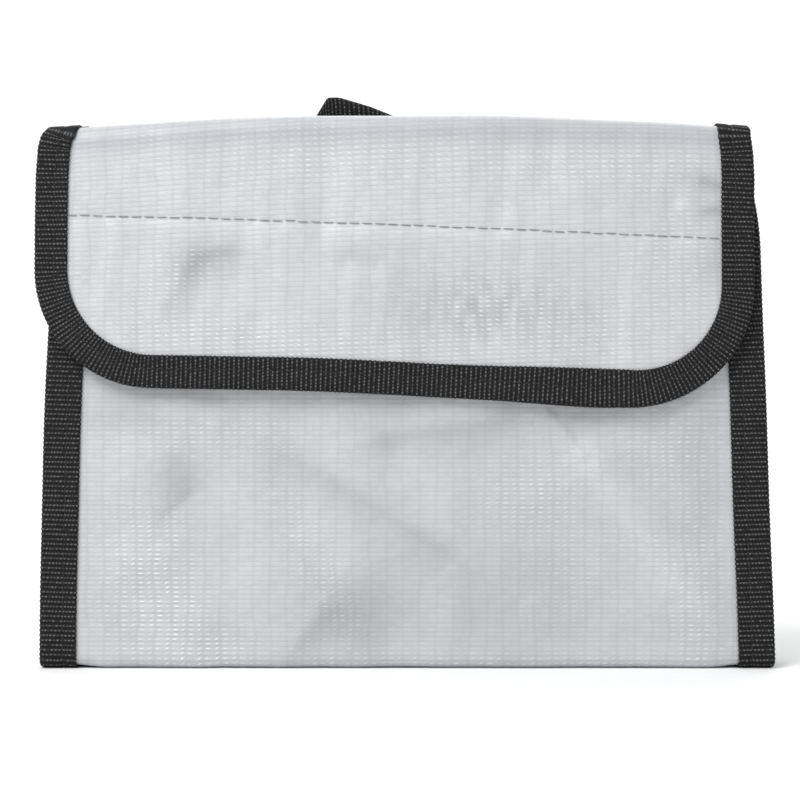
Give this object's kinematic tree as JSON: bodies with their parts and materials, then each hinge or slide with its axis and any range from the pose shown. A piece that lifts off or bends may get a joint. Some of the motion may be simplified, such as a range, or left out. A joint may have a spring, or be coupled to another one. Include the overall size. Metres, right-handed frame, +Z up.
{
  "type": "lipo safe bag",
  "caption": "Flat upright pouch of silvered glass-fibre cloth with black bound edges, a fold-over flap held by hook and loop, folded side gussets and a webbing handle on the back.",
  "frame": {"origin": "on the floor under the middle of the base, midway between the outermost points left and right", "axes": "+X to the viewer's right along the width, +Y from the front wall to the back wall, +Z up from the base to the top fold"},
  "size_m": [0.2419, 0.0343, 0.19],
  "materials": {
    "silver_cloth": "satin",
    "lining_cloth": "matte",
    "binding_tape": "matte",
    "webbing": "matte",
    "hook_tape": "matte",
    "loop_tape": "matte",
    "thread": "matte"
  },
  "bodies": {
    "back": {"back_panel": "silver_cloth", "back_lining": "lining_cloth", "base_panel": "silver_cloth", "base_lining": "lining_cloth", "back_binding_left": "binding_tape", "back_binding_right": "binding_tape", "base_binding_left": "binding_tape", "base_binding_right": "binding_tape", "gusset_left": "silver_cloth", "gusset_right": "silver_cloth", "handle_end_left": "webbing", "handle_end_right": "webbing", "handle_stitch_left": "thread", "handle_stitch_right": "thread"},
    "front": {"front_panel": "silver_cloth", "front_lining": "lining_cloth", "mouth_binding": "binding_tape", "loop_strip": "loop_tape", "front_binding_left": "binding_tape", "front_binding_right": "binding_tape"},
    "lid": {"lid_panel": "silver_cloth", "lid_lining": "lining_cloth", "lid_binding_left": "binding_tape", "lid_binding_right": "binding_tape"},
    "flap": {"flap_panel": "silver_cloth", "flap_lining": "lining_cloth", "flap_binding": "binding_tape", "hook_strip": "hook_tape", "flap_seam_thread": "thread"},
    "handle": {"handle_strap": "webbing"}
  },
  "joints": [
    {"name": "lid_fold", "type": "hinge", "parent": "back", "child": "lid", "pos_m": [0, 0.007, 0.1772], "axis": [-1, 0, 0], "range_deg": [0, 90]},
    {"name": "flap_fold", "type": "hinge", "parent": "lid", "child": "flap", "pos_m": [0, -0.0093, 0.1784], "axis": [-1, 0, 0], "range_deg": [0, 150]},
    {"name": "front_spread", "type": "hinge", "parent": "back", "child": "front", "pos_m": [0, -0.01523, 0.00502], "axis": [1, 0, 0], "range_deg": [0, 18], "deforming": ["gusset_left", "gusset_right"]},
    {"name": "handle_swing", "type": "hinge", "parent": "back", "child": "handle", "pos_m": [0, 0.0099, 0.13941], "axis": [-1, 0, 0], "range_deg": [0, 120]}
  ],
  "couplings": [
    {"joint": "front_spread", "follows": "flap_fold", "ratio": 0.12}
  ]
}
